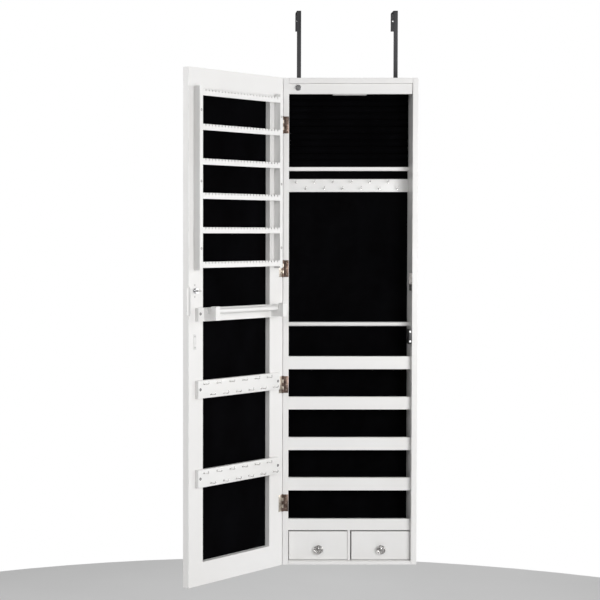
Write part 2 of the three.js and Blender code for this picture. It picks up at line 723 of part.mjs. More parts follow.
// ---------------------------------------------------------------- lock and catch

// The sleeve through the door with its outer flange, and the plug that turns in it with its cam.
function buildLock() {
  const outside = -DOOR_T - FIT;
  const flangeY = outside - LOCK_FLANGE_T;
  const sleeve = cylinderY(LOCK_U, LOCK_HEIGHT, outside - LOCK_FLANGE_T / 2, LOCK_REACH, LOCK_R);
  const flange = cylinderY(LOCK_U, LOCK_HEIGHT, flangeY, outside, LOCK_FLANGE_R);
  const bore = cylinderY(LOCK_U, LOCK_HEIGHT, flangeY - 1, LOCK_REACH + 1, LOCK_BORE_R, 16);
  add(door, 'lock_body', 'chrome', carve([sleeve, flange], [bore]));

  const camY = LOCK_REACH + FIT;
  const plug = cylinderY(LOCK_U, LOCK_HEIGHT, flangeY, camY + CAM_T / 2, PLUG_R, 16);
  const half = CAM_W / 2;
  const arm = block(
    LOCK_U - CAM_L, LOCK_U, camY, camY + CAM_T, LOCK_HEIGHT - half, LOCK_HEIGHT + half,
  );
  const hub = cylinderY(LOCK_U, LOCK_HEIGHT, camY, camY + CAM_T, half, 16);
  add(door, 'lock_cam', 'dark_steel', carve([plug, arm, hub]));
}

// The strike on the right wall: a plate with a flange that the turned cam reaches behind.
function buildStrike() {
  const wall = INNER_X - FIT;
  const plateX = wall - STRIKE_T;
  const lipX = plateX - STRIKE_LIP;
  const frontY = FRONT_Y + 1;
  const camBackY = frontY + 7;
  const plate = block(plateX, wall, camBackY, camBackY + STRIKE_D, STRIKE_BOTTOM, STRIKE_TOP);
  const upper = block(plateX, wall, frontY, camBackY + 1, STRIKE_LIP_BOTTOM, STRIKE_TOP);
  const flange = block(lipX, wall, frontY, frontY + STRIKE_T, STRIKE_LIP_BOTTOM, STRIKE_TOP);
  add(cabinet, 'lock_strike', 'dark_steel', carve([plate, upper, flange]));
}

// The magnet in the cabinet and the steel plate on the door that it holds.
function buildCatch() {
  const wall = INNER_X - FIT;
  const frontY = FRONT_Y + 0.5;
  const magnet = block(wall - CATCH_W, wall, frontY, frontY + CATCH_D, CATCH_BOTTOM, CATCH_TOP);
  add(cabinet, 'magnetic_catch', 'dark_steel', magnet);

  const half = CATCH_PLATE_W / 2;
  add(door, 'catch_plate', 'dark_steel', block(
    LOCK_U - half, LOCK_U + half, FIT, FIT + CATCH_PLATE_T, CATCH_PLATE_BOTTOM, CATCH_PLATE_TOP,
  ));
}

buildShell();
buildUpperCompartment();
buildShelves();
buildDrawers();
buildLamp();
buildHangers();
buildHinges();
buildDoor();
buildRack();
buildDoorStrips();
buildBraceletBar();
buildLock();
buildStrike();
buildCatch();

export default armoire;
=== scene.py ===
import json
import math
import random

import bmesh
import bpy
from mathutils import Matrix, Vector, noise


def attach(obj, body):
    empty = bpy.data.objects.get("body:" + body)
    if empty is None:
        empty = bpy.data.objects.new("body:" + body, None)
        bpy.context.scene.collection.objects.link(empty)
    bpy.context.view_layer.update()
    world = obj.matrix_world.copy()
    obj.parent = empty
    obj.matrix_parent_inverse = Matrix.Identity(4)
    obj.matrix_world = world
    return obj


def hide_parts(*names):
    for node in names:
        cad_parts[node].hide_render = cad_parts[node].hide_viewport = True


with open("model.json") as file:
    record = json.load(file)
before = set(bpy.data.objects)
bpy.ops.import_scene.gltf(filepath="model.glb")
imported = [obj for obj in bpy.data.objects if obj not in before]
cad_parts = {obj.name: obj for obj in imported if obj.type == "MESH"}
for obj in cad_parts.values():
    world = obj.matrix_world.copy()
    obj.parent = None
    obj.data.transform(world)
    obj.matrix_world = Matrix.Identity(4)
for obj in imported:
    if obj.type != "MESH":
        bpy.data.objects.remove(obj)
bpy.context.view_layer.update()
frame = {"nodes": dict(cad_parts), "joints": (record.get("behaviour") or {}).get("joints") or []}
NODES = frame["nodes"]
JOINTS = {joint["name"]: joint for joint in frame["joints"]}
SHUFFLE = random.Random(7)

# Pieces on the cabinet are built where they stand. Those on the door are built on a closed door,
# about the hinge axis, and DOOR swings them open to the frame's rest position.
CABINET = Matrix.Identity(4)
HINGE = JOINTS["door_hinge"]
DOOR = Matrix.Translation(HINGE["pos_m"]) @ Matrix.Rotation(
    math.radians(-HINGE["range_deg"][0]), 4, HINGE["axis"]
)
MM = 0.001
FIT = 0.3 * MM  # the gap that the frame keeps between neighbouring pieces
UP = Vector((0, 0, 1))
FRONT = Vector((0, -1, 0))
BACK = Vector((0, 1, 0))

# ---------------------------------------------------------------- driving sizes, in metres

# Bevels of the carried-over CAD pieces
PANEL_ROUND = 0.9 * MM
TRIM_ROUND = 0.6 * MM
METAL_ROUND = 0.25 * MM

# Velvet on the back board ends this far in front of the board's rear face
VELVET_WRAP = 4 * MM
WRAP_FADE = 0.6 * MM

# Ring cushion
ROLLS = 12
ROLL_START = 0.86  # share of the pitch that a roll fills before it swells
ROLL_VOXEL = 3.6 * MM
ROLL_PRESSURE = 4.0
ROLL_SWELL_CAP = 1.1 * MM
ROLL_END_GAP = 3 * MM  # a roll is this much shorter than the cushion
ROLL_SINK = 0.8 * MM  # into the cushion's base
ROLL_DENT = 0.5 * MM
ROLL_CREASE = 0.22 * MM
CUSHION_BASE_T = 5.0 * MM

# Rings that round off a wire's ends: distance past the path's end and width, over the wire's radius
WIRE_START = ((0.9, 0.45), (0.36, 0.87))
WIRE_END = ((0.36, 0.81), (0.9, 0.45))

# Wire hooks
HOOK_REACH = 15 * MM
HOOK_CAD_WIRE_R = 1.2 * MM  # of the frame's plain hooks
HOOK_WIRE_R = 1.05 * MM
HOOK_BEND_R = 3.0 * MM
HOOK_FLANGE_R = 2.5 * MM
HOOK_FLANGE_T = 0.7 * MM
HOOK_ROOT = 0.4 * MM  # how deep the wire starts inside its strip
FLANGE_ROOT = 0.1 * MM
HOOK_PROUD = 8 * MM  # every point of a strip that stands this proud of its face is on a hook's tip
HOOK_GROUP_X = 6 * MM  # a tip's points lie closer together than this
HOOK_GROUP_Z = 12 * MM

# Rods
SCARF_ROD_ROUND = 0.5 * MM
BRACELET_ROD_ROUND = 1.4 * MM

# Screws
SCREW_R = 2.9 * MM
SCREW_DOME = 0.34  # a head's height as a share of its radius
SCREW_SINK = 0.3 * MM
SLOT_HALF, SLOT_REACH, SLOT_DEPTH = 0.15, 0.66, 0.42  # of the cross recess, over the head's radius
SLOT_WALL, SLOT_END = 0.09, 0.12  # how wide the slopes at its sides and ends are
STRIP_SCREW_R = 3.3 * MM
SMALL_SCREW_R = 1.9 * MM
RACK_SCREW_DROPS = (55 * MM, 219 * MM, 374 * MM)  # below the top of the rack's sides
STRIP_SCREW_INSET = 7.2 * MM
LOCK_SCREW_OFFSET = 13.6 * MM
STRIKE_SCREW_X = 2 * MM  # inside the strike's right face
STRIKE_SCREW_Y = 7 * MM  # in front of its rear
STRIKE_SCREW_MARGIN = 6 * MM  # from its ends
PLATE_SCREW_MARGIN = 5 * MM  # from the ends of the catch's plate

# Drawers
DRAWER_WALL = 4 * MM
DRAWER_FLOOR = 3 * MM
LINING_T = 0.9 * MM
LINING_DROP = 1.2 * MM  # from the top of the drawer's walls
LINING_GAP = 0.05 * MM
COLLAR_R = 5.4 * MM
COLLAR_T = 2.6 * MM

# Hinges
HINGES = 4
LEAF_T = 0.7 * MM
LEAF_LIFT = 0.05 * MM  # off the face that a leaf is screwed to
LEAF_CLEAR = 0.3 * MM  # from the knuckles to a leaf's plate
LEAF_ROUND = 0.18 * MM
KNUCKLES = 5
KNUCKLE_CLEAR = 0.12 * MM  # at each end of a knuckle
KNUCKLE_ROUND = 0.25 * MM
HINGE_SCREW_R = 1.75 * MM
HINGE_SCREW_DOME = 0.17  # low enough for the leaves to fold face to face
HINGE_SCREW_SPREAD = 13.5 * MM
HINGE_SCREW_SHIFT = 0.4 * MM  # from the middle of the plate, away from the knuckles
HINGE_SCREW_SUNK = 0.12 * MM
PIN_OVERHANG = 0.6 * MM
PIN_HEAD_R = 1.9 * MM
PIN_HEAD_T = 0.9 * MM
PIN_HEAD_ROOT = 0.2 * MM
PIN_HEAD_ROUND = 0.8 * MM

# Lamp, switch, lock and magnetic catch
LENS_HALF = 42 * MM
LENS_DROP = 4.3 * MM
LENS_MARGIN = 0.5 * MM  # from the front and the rear of the case
LENS_OVERLAP = 1 * MM  # into the case
LENS_ROUND = 1.8 * MM
LAMP_ROUND = 1.5 * MM
RIDGES = 4
RIDGE_HALF = 8 * MM  # half the length of a finger ridge
RIDGE_START = 4 * MM
RIDGE_PITCH = 3 * MM
RIDGE_W = 1 * MM
RIDGE_PROUD = 0.4 * MM
RIDGE_ROOT = 0.6 * MM
RIDGE_ROUND = 0.3 * MM
BUTTON_BORE_R = 5.3 * MM
SLEEVE_R = 6 * MM
SLEEVE_BORE_R = 2.9 * MM
FLANGE_T = 0.9 * MM
THREAD_PITCH = 0.6 * MM
THREAD_DEPTH = 0.25 * MM
NUT_RIM = 1.6 * MM  # how far the nut reaches past the sleeve
NUT_T = 2.2 * MM
POLE_INSET = 4 * MM  # of a pole piece, from the catch's end
POLE_H = 5 * MM
POLE_PROUD = 0.25 * MM
POLE_MARGIN = 1.5 * MM  # from the catch's left and right faces
POLE_D = 3 * MM
POLE_ROUND = 0.4 * MM
CATCH_ROUND = 1.0 * MM
CATCH_SCREW_SUNK = 0.3 * MM
CATCH_SCREW_SHIFT = 2 * MM  # behind the middle of the catch

# Camera
CAMERA_PLACE = (-0.446, -3.558, 0.213)
CAMERA_DROP_DEG = 1.46  # how far the camera looks down
CAMERA_LENS = 84.54
CAMERA_SHIFT = (0.2167, -0.0485)
FLOOR_Z = -1.25  # the cabinet hangs from a room door, clear of the floor
FLOOR_R = 2.8

# Studio: each softbox has its place, the point that it faces, its width and height, and its power
SOFTBOXES = {
    "softbox_key": ((0.8, -1.8, 0.2), (0.0, -0.1, 0.15), (0.8, 0.9), 21),
    "softbox_right": ((2.6, -0.5, 0.45), (-0.2, -0.1, 0.1), (1.2, 1.6), 19),
    "softbox_left": ((-3.6, 0.3, 0.9), (-0.4, -0.2, 0.1), (1.1, 1.8), 62),
    "softbox_front": ((-1.5, -3.4, 1.3), (0.0, -0.1, 0.3), (1.2, 1.4), 18),
    "softbox_rear": ((0.8, 3.2, 1.4), (0, 0, 0), (2.0, 2.0), 40),
}
WORLD_FADE = {"From Min": -0.6, "From Max": 0.8, "To Min": 0.11, "To Max": 0.36}


# ---------------------------------------------------------------- reading the frame

class Box:
    """A CAD node's lowest and highest corners at rest, measured along a space's own axes."""

    def __init__(self, node, space=CABINET):
        inverse = space.inverted()
        points = [inverse @ vertex.co for vertex in NODES[node].data.vertices]
        self.lo = Vector([min(point[i] for point in points) for i in range(3)])
        self.hi = Vector([max(point[i] for point in points) for i in range(3)])
        self.mid = (self.lo + self.hi) / 2
        self.size = self.hi - self.lo


def door_face():
    """Where the door's inner face lies, along the closed door's Y."""
    return Box("rack_side_free", DOOR).lo.y - FIT


def hook_places(node, space, face_y, outward):
    """For each hook of a strip: the x and z where it leaves the strip's face, its reach and its rise."""
    inverse = space.inverted()
    tips = []
    for vertex in NODES[node].data.vertices:
        point = inverse @ vertex.co
        if (point.y - face_y) * outward > HOOK_PROUD:
            tips.append(point)
    groups = []
    for tip in sorted(tips, key=lambda point: (round(point.x, 4), point.z)):
        for group in groups:
            if abs(group[0].x - tip.x) < HOOK_GROUP_X and abs(group[0].z - tip.z) < HOOK_GROUP_Z:
                group.append(tip)
                break
        else:
            groups.append([tip])
    places = []
    for group in groups:
        x = (min(p.x for p in group) + max(p.x for p in group)) / 2
        low = min(p.z for p in group)
        high = max(p.z for p in group)
        reach = max((p.y - face_y) * outward for p in group)
        places.append((x, low + HOOK_WIRE_R, reach, high - low))
    return places


# ---------------------------------------------------------------- finishes

class Finish:
    """A node material around one Principled shader, with procedural detail in object space."""

    def __init__(self, name, constants):
        self.material = bpy.data.materials.new(name)
        self.material.use_nodes = True
        self.tree = self.material.node_tree
        self.shader = self.tree.nodes["Principled BSDF"]
        for socket, value in constants.items():
            self.shader.inputs[socket].default_value = value
        self.place = self.node("ShaderNodeTexCoord").outputs["Object"]
        self.last_bump = None

    def node(self, kind, **inputs):
        made = self.tree.nodes.new(kind)
        for name, value in inputs.items():
            self.feed(made.inputs[name.replace("_", " ")], value)
        return made

    def feed(self, socket, value):
        if isinstance(value, bpy.types.NodeSocket):
            self.tree.links.new(value, socket)
        else:
            socket.default_value = value

    def noise(self, scale, detail=2.0, stretch=(1, 1, 1), **extra):
        mapped = self.node("ShaderNodeMapping", Vector=self.place, Scale=stretch)
        made = self.node("ShaderNodeTexNoise", Vector=mapped.outputs[0], Scale=scale, Detail=detail, **extra)
        return made.outputs["Fac"]

    def spread(self, value, low, high, start=0.3, end=0.7):
        """Carries value from start..end to low..high."""
        made = self.node("ShaderNodeMapRange", Value=value)
        for name, number in (("From Min", start), ("From Max", end), ("To Min", low), ("To Max", high)):
            made.inputs[name].default_value = number
        return made.outputs[0]

    def blend(self, factor, low, high):
        """A colour between two colours."""
        made = self.node("ShaderNodeMix")
        made.data_type = "RGBA"
        self.feed(made.inputs[0], factor)
        self.feed(made.inputs[6], low if isinstance(low, bpy.types.NodeSocket) else (*low, 1))
        self.feed(made.inputs[7], high if isinstance(high, bpy.types.NodeSocket) else (*high, 1))
        return made.outputs[2]

    def maths(self, operation, a, b):
        made = self.node("ShaderNodeMath")
        made.operation = operation
        self.feed(made.inputs[0], a)
        self.feed(made.inputs[1], b)
        return made.outputs[0]

    def set(self, socket, value):
        self.feed(self.shader.inputs[socket], value)

    def bump(self, height, distance, strength=1.0):
        made = self.node("ShaderNodeBump", Height=height, Distance=distance, Strength=strength)
        if self.last_bump is not None:
            self.feed(made.inputs["Normal"], self.last_bump)
        self.last_bump = made.outputs[0]
        self.set("Normal", self.last_bump)


def upward(finish):
    """1 on faces that look up, 0 on the others."""
    geometry = finish.node("ShaderNodeNewGeometry")
    parts = finish.node("ShaderNodeSeparateXYZ", Vector=geometry.outputs["Normal"])
    return finish.spread(parts.outputs["Z"], 0.0, 1.0, 0.4, 0.95)


def white_paint(name, tone=(0.86, 0.853, 0.845)):
    """Sprayed satin paint on fibreboard: faint clouding, orange peel and a film of dust on ledges."""
    finish = Finish(name, {"Coat Weight": 0.1, "Coat Roughness": 0.28, "Specular IOR Level": 0.45})
    clouds = finish.spread(finish.noise(5.5, 4.0), 0.0, 1.0)
    deep = tuple(c * f for c, f in zip(tone, (0.965, 0.96, 0.952)))
    colour = finish.blend(clouds, deep, tone)
    specks = finish.spread(finish.noise(900, 3.0), 0.0, 0.35, 0.62, 0.8)
    colour = finish.blend(specks, colour, tuple(c * 0.86 for c in tone))
    film = finish.spread(finish.noise(38, 5.0), 0.0, 0.3, 0.35, 0.75)
    dust = finish.maths("MULTIPLY", upward(finish), film)
    colour = finish.blend(dust, colour, (0.66, 0.64, 0.61))
    finish.set("Base Color", colour)
    finish.set("Roughness", finish.spread(finish.noise(16, 3.0), 0.34, 0.47))
    finish.bump(finish.noise(420, 2.0), 0.00012, 0.35)
    finish.bump(finish.noise(26, 2.0), 0.0008, 0.1)
    return finish.material


def velvet(name):
    """Black velvet: short pile that lies in soft patches, with a weak sheen at grazing angles."""
    finish = Finish(name, {
        "Specular IOR Level": 0.02, "Sheen Weight": 0.012, "Sheen Roughness": 0.45,
        "Sheen Tint": (0.62, 0.62, 0.72, 1),
    })
    finish.set("Base Color", velvet_colour(finish))
    finish.set("Roughness", finish.spread(finish.noise(60), 0.9, 1.0))
    finish.bump(finish.noise(1500, 2.0), 0.0005, 0.6)
    finish.bump(finish.noise(90, 4.0), 0.0007, 0.3)
    return finish.material


def velvet_colour(finish):
    nap = finish.spread(finish.noise(17, 5.0, (1, 1, 0.55)), 0.0, 1.0)
    colour = finish.blend(nap, (0.0005, 0.0004, 0.0006), (0.0017, 0.0017, 0.0022))
    fibres = finish.spread(finish.noise(2300, 2.0), 0.0, 0.55, 0.45, 0.8)
    return finish.blend(fibres, colour, (0.0036, 0.0035, 0.0042))


def lined_hardboard(name, rear_y):
    """Velvet on the board's front, plain pale hardboard on the rear face that lies at rear_y."""
    finish = Finish(name, {"Specular IOR Level": 0.03})
    parts = finish.node("ShaderNodeSeparateXYZ", Vector=finish.place)
    rear = finish.spread(parts.outputs["Y"], 0.0, 1.0, rear_y - VELVET_WRAP, rear_y - VELVET_WRAP + WRAP_FADE)
    fibres = finish.spread(finish.noise(240, 4.0, (1, 1, 0.35)), 0.0, 1.0)
    board = finish.blend(fibres, (0.60, 0.575, 0.54), (0.70, 0.68, 0.645))
    stains = finish.spread(finish.noise(9, 5.0), 0.0, 0.35, 0.5, 0.75)
    board = finish.blend(stains, board, (0.50, 0.47, 0.43))
    finish.set("Base Color", finish.blend(rear, velvet_colour(finish), board))
    finish.set("Roughness", finish.spread(finish.noise(70), 0.82, 0.98))
    finish.bump(finish.noise(1100, 3.0), 0.0003, 0.5)
    return finish.material


def metal(name, dark, bright, roughness, brushed=(1, 1, 1), pits=0.25, grime=None):
    """Metal with cloudy tone, fine brushing along one direction and darker grime in patches."""
    finish = Finish(name, {"Metallic": 1.0})
    tone = finish.spread(finish.noise(75, 5.0, brushed), 0.0, 1.0)
    colour = finish.blend(tone, dark, bright)
    if grime:
        patches = finish.spread(finish.noise(160, 4.0), 0.0, 0.75, 0.5, 0.72)
        colour = finish.blend(patches, colour, grime)
    finish.set("Base Color", colour)
    low, high = roughness
    finish.set("Roughness", finish.spread(finish.noise(210, 4.0, brushed), low, high))
    finish.bump(finish.noise(700, 3.0, brushed), 0.00008, pits)
    return finish.material


def mirror_glass(name):
    """Silvered glass with a trace of dust and wiping streaks."""
    finish = Finish(name, {"Metallic": 1.0, "Coat Weight": 0.3, "Coat Roughness": 0.02})
    haze = finish.spread(finish.noise(8, 4.0, (1, 1, 0.25)), 0.0, 1.0, 0.35, 0.8)
    finish.set("Base Color", finish.blend(haze, (0.84, 0.865, 0.865), (0.79, 0.81, 0.812)))
    finish.set("Roughness", finish.spread(finish.noise(30, 6.0, (1, 1, 0.4)), 0.012, 0.05, 0.45, 0.8))
    return finish.material


def plastic(name, tone, roughness=(0.3, 0.42)):
    """Moulded plastic: a fine mould texture and slight mottling."""
    finish = Finish(name, {"Specular IOR Level": 0.5})
    mottle = finish.spread(finish.noise(45, 3.0), 0.0, 1.0)
    finish.set("Base Color", finish.blend(mottle, tuple(c * 0.95 for c in tone), tone))
    finish.set("Roughness", finish.spread(finish.noise(130, 3.0), *roughness))
    finish.bump(finish.noise(1300, 2.0), 0.00006, 0.4)
    return finish.material


def crystal(name):
    """Clear cut acrylic, a little smoky, with faint polishing haze on its facets."""
    finish = Finish(name, {"Transmission Weight": 0.9, "IOR": 1.53, "Coat Weight": 0.2})
    smoke = finish.spread(finish.noise(160, 3.0), 0.0, 1.0)
    finish.set("Base Color", finish.blend(smoke, (0.58, 0.56, 0.54), (0.80, 0.785, 0.77)))
    finish.set("Roughness", finish.spread(finish.noise(420, 3.0), 0.015, 0.06))
    return finish.material


PAINT = white_paint("white_paint")
TRIM_PAINT = white_paint("white_paint_trim", (0.87, 0.866, 0.858))
VELVET = velvet("black_velvet")
HINGE_METAL = metal(
    "antique_bronze", (0.10, 0.066, 0.052), (0.26, 0.19, 0.16), (0.3, 0.46), (1, 1, 0.6), 0.3,
    grime=(0.035, 0.022, 0.017),
)
# The door leaves' bronze: the same metal as antique_bronze, painted several times lighter as a painted
# reflection of the softbox that the door leaves face. Its darker patches are grime.
BRONZE_PAINTED_REFLECTION = metal(
    "bronze_painted_reflection", (0.50, 0.44, 0.37), (0.90, 0.83, 0.74), (0.26, 0.4), (1, 1, 0.6), 0.3,
    grime=(0.22, 0.17, 0.13),
)
HINGE_SCREW_METAL = metal("bronze_screw", (0.42, 0.34, 0.28), (0.72, 0.62, 0.52), (0.2, 0.34))
HANGER_METAL = metal(
    "zinc_steel", (0.045, 0.045, 0.047), (0.095, 0.095, 0.098), (0.4, 0.56), (1, 1, 0.08), 0.4,
)
CHROME = metal("polished_chrome", (0.56, 0.56, 0.57), (0.78, 0.78, 0.79), (0.08, 0.2), pits=0.12)
HOOK_METAL = metal("nickel_wire", (0.6, 0.59, 0.58), (0.86, 0.85, 0.84), (0.2, 0.34), pits=0.15)
DARK_METAL = metal("dark_steel", (0.05, 0.048, 0.046), (0.13, 0.126, 0.12), (0.3, 0.46))
GREY_METAL = metal("satin_steel", (0.30, 0.295, 0.29), (0.5, 0.49, 0.48), (0.26, 0.42))
PLATE_METAL = metal("zinc_plate", (0.74, 0.735, 0.73), (0.86, 0.855, 0.85), (0.42, 0.55))
SCREW_METAL = metal("screw_steel", (0.34, 0.335, 0.33), (0.58, 0.57, 0.56), (0.24, 0.4))
BLACK_SCREW_METAL = metal("black_screw", (0.002, 0.002, 0.002), (0.010, 0.010, 0.011), (0.4, 0.55))
MIRROR = mirror_glass("mirror_glass")
WHITE_PLASTIC = plastic("white_plastic", (0.83, 0.83, 0.81))
GREY_PLASTIC = plastic("grey_plastic", (0.19, 0.19, 0.188))
BLACK_PLASTIC = plastic("black_plastic", (0.012, 0.012, 0.013))
LENS_PLASTIC = plastic("lamp_lens", (0.88, 0.88, 0.87), (0.2, 0.3))
CRYSTAL = crystal("cut_crystal")


# ---------------------------------------------------------------- mesh helpers

def aim(place, direction):
    """A matrix that puts the origin at place and turns +Z to direction."""
    turn = Vector(direction).to_track_quat("Z", "Y").to_matrix().to_4x4()
    return Matrix.Translation(place) @ turn


def slab(bm, lo, hi, rounding=PANEL_ROUND, segments=3):
    """A board between two corners with rounded edges."""
    lo, hi = Vector(lo), Vector(hi)
    middle, size = (lo + hi) / 2, hi - lo
    verts = bmesh.ops.create_cube(bm, size=1)["verts"]
    for vert in verts:
        vert.co = middle + Vector([c * s for c, s in zip(vert.co, size)])
    edges = list({edge for vert in verts for edge in vert.link_edges})
    bmesh.ops.bevel(
        bm, geom=edges, offset=min(rounding, min(size) * 0.45), segments=segments,
        profile=0.5, affect="EDGES",
    )


def skin(bm, low, high, sides):
    """Faces between two rings of points. A ring of one point makes a fan."""
    for i in range(sides):
        corners = [low[i % len(low)], low[(i + 1) % len(low)]]
        corners += [high[(i + 1) % len(high)], high[i % len(high)]]
        bm.faces.new(list(dict.fromkeys(corners)))


def turned(bm, profile, place, sides=40, closed=False):
    """Turns (radius, height) points about +Z of place. A closed profile makes a ring."""
    rings = []
    for radius, height in profile:
        if radius == 0:
            rings.append([bm.verts.new(place @ Vector((0, 0, height)))])
            continue
        ring = []
        for i in range(sides):
            angle = 2 * math.pi * i / sides
            ring.append(bm.verts.new(place @ Vector((
                radius * math.cos(angle), radius * math.sin(angle), height,
            ))))
        rings.append(ring)
    pairs = list(zip(rings, rings[1:]))
    if closed:
        pairs.append((rings[-1], rings[0]))
    for low, high in pairs:
        skin(bm, low, high, sides)


def rounded_end(radius, height, rounding, steps=4):
    """Profile points of a rounded rim, from the full radius in to the flat end."""
    points = []
    for i in range(steps + 1):
        angle = math.pi / 2 * i / steps
        points.append((
            radius - rounding + rounding * math.cos(angle),
            height - rounding + rounding * math.sin(angle),
        ))
    return points


def dowel(bm, place, radius, length, rounding, sides=40):
    """A round rod from place along its +Z with rounded ends."""
    top = rounded_end(radius, length, rounding)
    bottom = [(r, length - h) for r, h in reversed(top)]
    turned(bm, [(0, 0), *bottom, *top, (0, length)], place, sides)


def wire(bm, path, radius, across, sides=12):
    """A round wire along a path that bends about the direction across, with rounded ends."""
    side = Vector(across).normalized()
    centres = []
    for i, point in enumerate(path):
        ahead = path[min(i + 1, len(path) - 1)] - path[max(i - 1, 0)]
        centres.append((point, ahead.normalized()))
    start, start_way = centres[0]
    end, end_way = centres[-1]
    rings = [(start - start_way * radius * past, start_way, width) for past, width in WIRE_START]
    rings += [(point, way, 1.0) for point, way in centres]
    rings += [(end + end_way * radius * past, end_way, width) for past, width in WIRE_END]
    loops = []
    for centre, way, width in rings:
        other = way.cross(side)
        loop = []
        for k in range(sides):
            angle = 2 * math.pi * k / sides
            offset = side * math.cos(angle) + other * math.sin(angle)
            loop.append(bm.verts.new(centre + offset * radius * width))
        loops.append(loop)
    for low, high in zip(loops, loops[1:]):
        skin(bm, low, high, sides)
    bm.faces.new(list(reversed(loops[0])))
    bm.faces.new(loops[-1])


def screw_head(bm, place, radius, dome_share=SCREW_DOME):
    """A domed head with a cross recess. +Z of place points out of the material."""
    rings, sides = 8, 32
    dome = radius * dome_share
    turn = SHUFFLE.uniform(0, math.pi / 2)
    half_slot, slot_reach = radius * SLOT_HALF, radius * SLOT_REACH
    slot_depth = min(radius * SLOT_DEPTH, dome + SCREW_SINK * 0.9)

    def in_slot(along, over):
        wall = 1 - min(max((abs(over) - half_slot) / (radius * SLOT_WALL), 0), 1)
        end = 1 - min(max((abs(along) - slot_reach) / (radius * SLOT_END), 0), 1)
        return wall * end

    loops = [[bm.verts.new(place @ Vector((0, 0, dome - slot_depth)))]]
    for j in range(1, rings + 1):
        distance = radius * j / rings
        loop = []
        for i in range(sides):
            angle = 2 * math.pi * i / sides
            x, y = distance * math.cos(angle), distance * math.sin(angle)
            height = dome * math.sqrt(max(1 - (distance / radius) ** 2, 0.0))
            height -= slot_depth * max(in_slot(x, y), in_slot(y, x))
            spun = Matrix.Rotation(turn, 4, "Z") @ Vector((x, y, height))
            loop.append(bm.verts.new(place @ spun))
        loops.append(loop)
    base = []
    for vert in loops[-1]:
        base.append(bm.verts.new(vert.co - (place.to_3x3() @ UP) * SCREW_SINK))
    loops.append(base)
    for low, high in zip(loops, loops[1:]):
        skin(bm, low, high, sides)
    bm.faces.new(list(reversed(loops[-1])))


def piece(name, bm, material, body, space=CABINET, replaced=(), smooth_deg=35):
    """Turns a bmesh into a named piece that rides on a body."""
    bm.transform(space)
    bmesh.ops.recalc_face_normals(bm, faces=bm.faces)
    mesh = bpy.data.meshes.new(name)
    bm.to_mesh(mesh)
    bm.free()
    mesh.materials.append(material)
    mesh.polygons.foreach_set("use_smooth", [True] * len(mesh.polygons))
    mesh.set_sharp_from_angle(angle=math.radians(smooth_deg))
    made = bpy.data.objects.new(name, mesh)
    bpy.context.scene.collection.objects.link(made)
    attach(made, body)
    if replaced:
        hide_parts(*replaced)
    return made


def soften(node, material, rounding, segments=3):
    """Gives a carried-over CAD piece its finish and rounds its edges with modifiers."""
    thing = NODES[node]
    for slot in thing.material_slots:
        slot.material = material
    weld = thing.modifiers.new("weld", "WELD")
    weld.merge_threshold = 0.01 * MM
    bevel = thing.modifiers.new("rounded_edges", "BEVEL")
    bevel.width = rounding
    bevel.segments = segments
    bevel.limit_method = "ANGLE"
    bevel.angle_limit = math.radians(40)
    bevel.use_clamp_overlap = True
    bevel.harden_normals = False
    normals = thing.modifiers.new("even_normals", "WEIGHTED_NORMAL")
    normals.keep_sharp = False
    normals.weight = 80


# ---------------------------------------------------------------- carried-over CAD pieces

def finish_boards():
    for node in ("side_panel_left", "side_panel_right", "top_panel", "bottom_panel"):
        soften(node, PAINT, PANEL_ROUND)
    for node in ("header_rail", "cushion_ledge", "drawer_divider"):
        soften(node, PAINT, TRIM_ROUND)
    for i in range(1, 6):
        soften(f"shelf_lip_{i}", TRIM_PAINT, PANEL_ROUND)
        soften(f"shelf_board_{i}", VELVET, TRIM_ROUND, 2)
    for side in ("left", "right"):
        soften(f"drawer_{side}_front", TRIM_PAINT, PANEL_ROUND)
        soften(f"drawer_{side}_box", PAINT, TRIM_ROUND, 2)
        soften(f"hanger_{side}", HANGER_METAL, METAL_ROUND, 2)
    soften("back_board", lined_hardboard("lined_hardboard", Box("back_board").hi.y), METAL_ROUND, 2)
    soften("door_frame", PAINT, PANEL_ROUND)
    soften("door_backing", VELVET, METAL_ROUND, 2)
    soften("mirror", MIRROR, METAL_ROUND, 2)
    for node in ("rack_side_hinge", "rack_side_free"):
        soften(node, TRIM_PAINT, TRIM_ROUND)
    for i in range(1, 7):
        soften(f"rack_rail_{i}", TRIM_PAINT, METAL_ROUND, 2)
    soften("bracelet_bar_bracket", TRIM_PAINT, TRIM_ROUND)
    soften("lock_strike", DARK_METAL, METAL_ROUND, 2)
    soften("catch_plate", PLATE_METAL, METAL_ROUND, 2)
    soften("lock_cam", GREY_METAL, METAL_ROUND, 2)


# ---------------------------------------------------------------- ring cushion

def roll_mesh(length, depth, width):
    """One velvet-covered foam roll along X, swollen by a cloth simulation."""
    bm = bmesh.new()
    half = Vector((length, depth, width)) / 2
    slab(bm, -half, half, min(depth, width) * 0.44, 5)
    mesh = bpy.data.meshes.new("roll")
    bm.to_mesh(mesh)
    bm.free()
    roll = bpy.data.objects.new("roll", mesh)
    bpy.context.scene.collection.objects.link(roll)
    remesh = roll.modifiers.new("remesh", "REMESH")
    remesh.mode = "VOXEL"
    remesh.voxel_size = ROLL_VOXEL
    apply_modifiers(roll)
    swell(roll, pinned=lambda point: point.y > half.y * 0.75)
    smooth = roll.modifiers.new("subdivision", "SUBSURF")
    smooth.levels = 1
    apply_modifiers(roll)
    mesh = roll.data
    bpy.data.objects.remove(roll)
    return mesh


def apply_modifiers(thing):
    """Replaces an object's mesh by its evaluated one."""
    graph = bpy.context.evaluated_depsgraph_get()
    result = bpy.data.meshes.new_from_object(thing.evaluated_get(graph))
    thing.modifiers.clear()
    thing.data = result


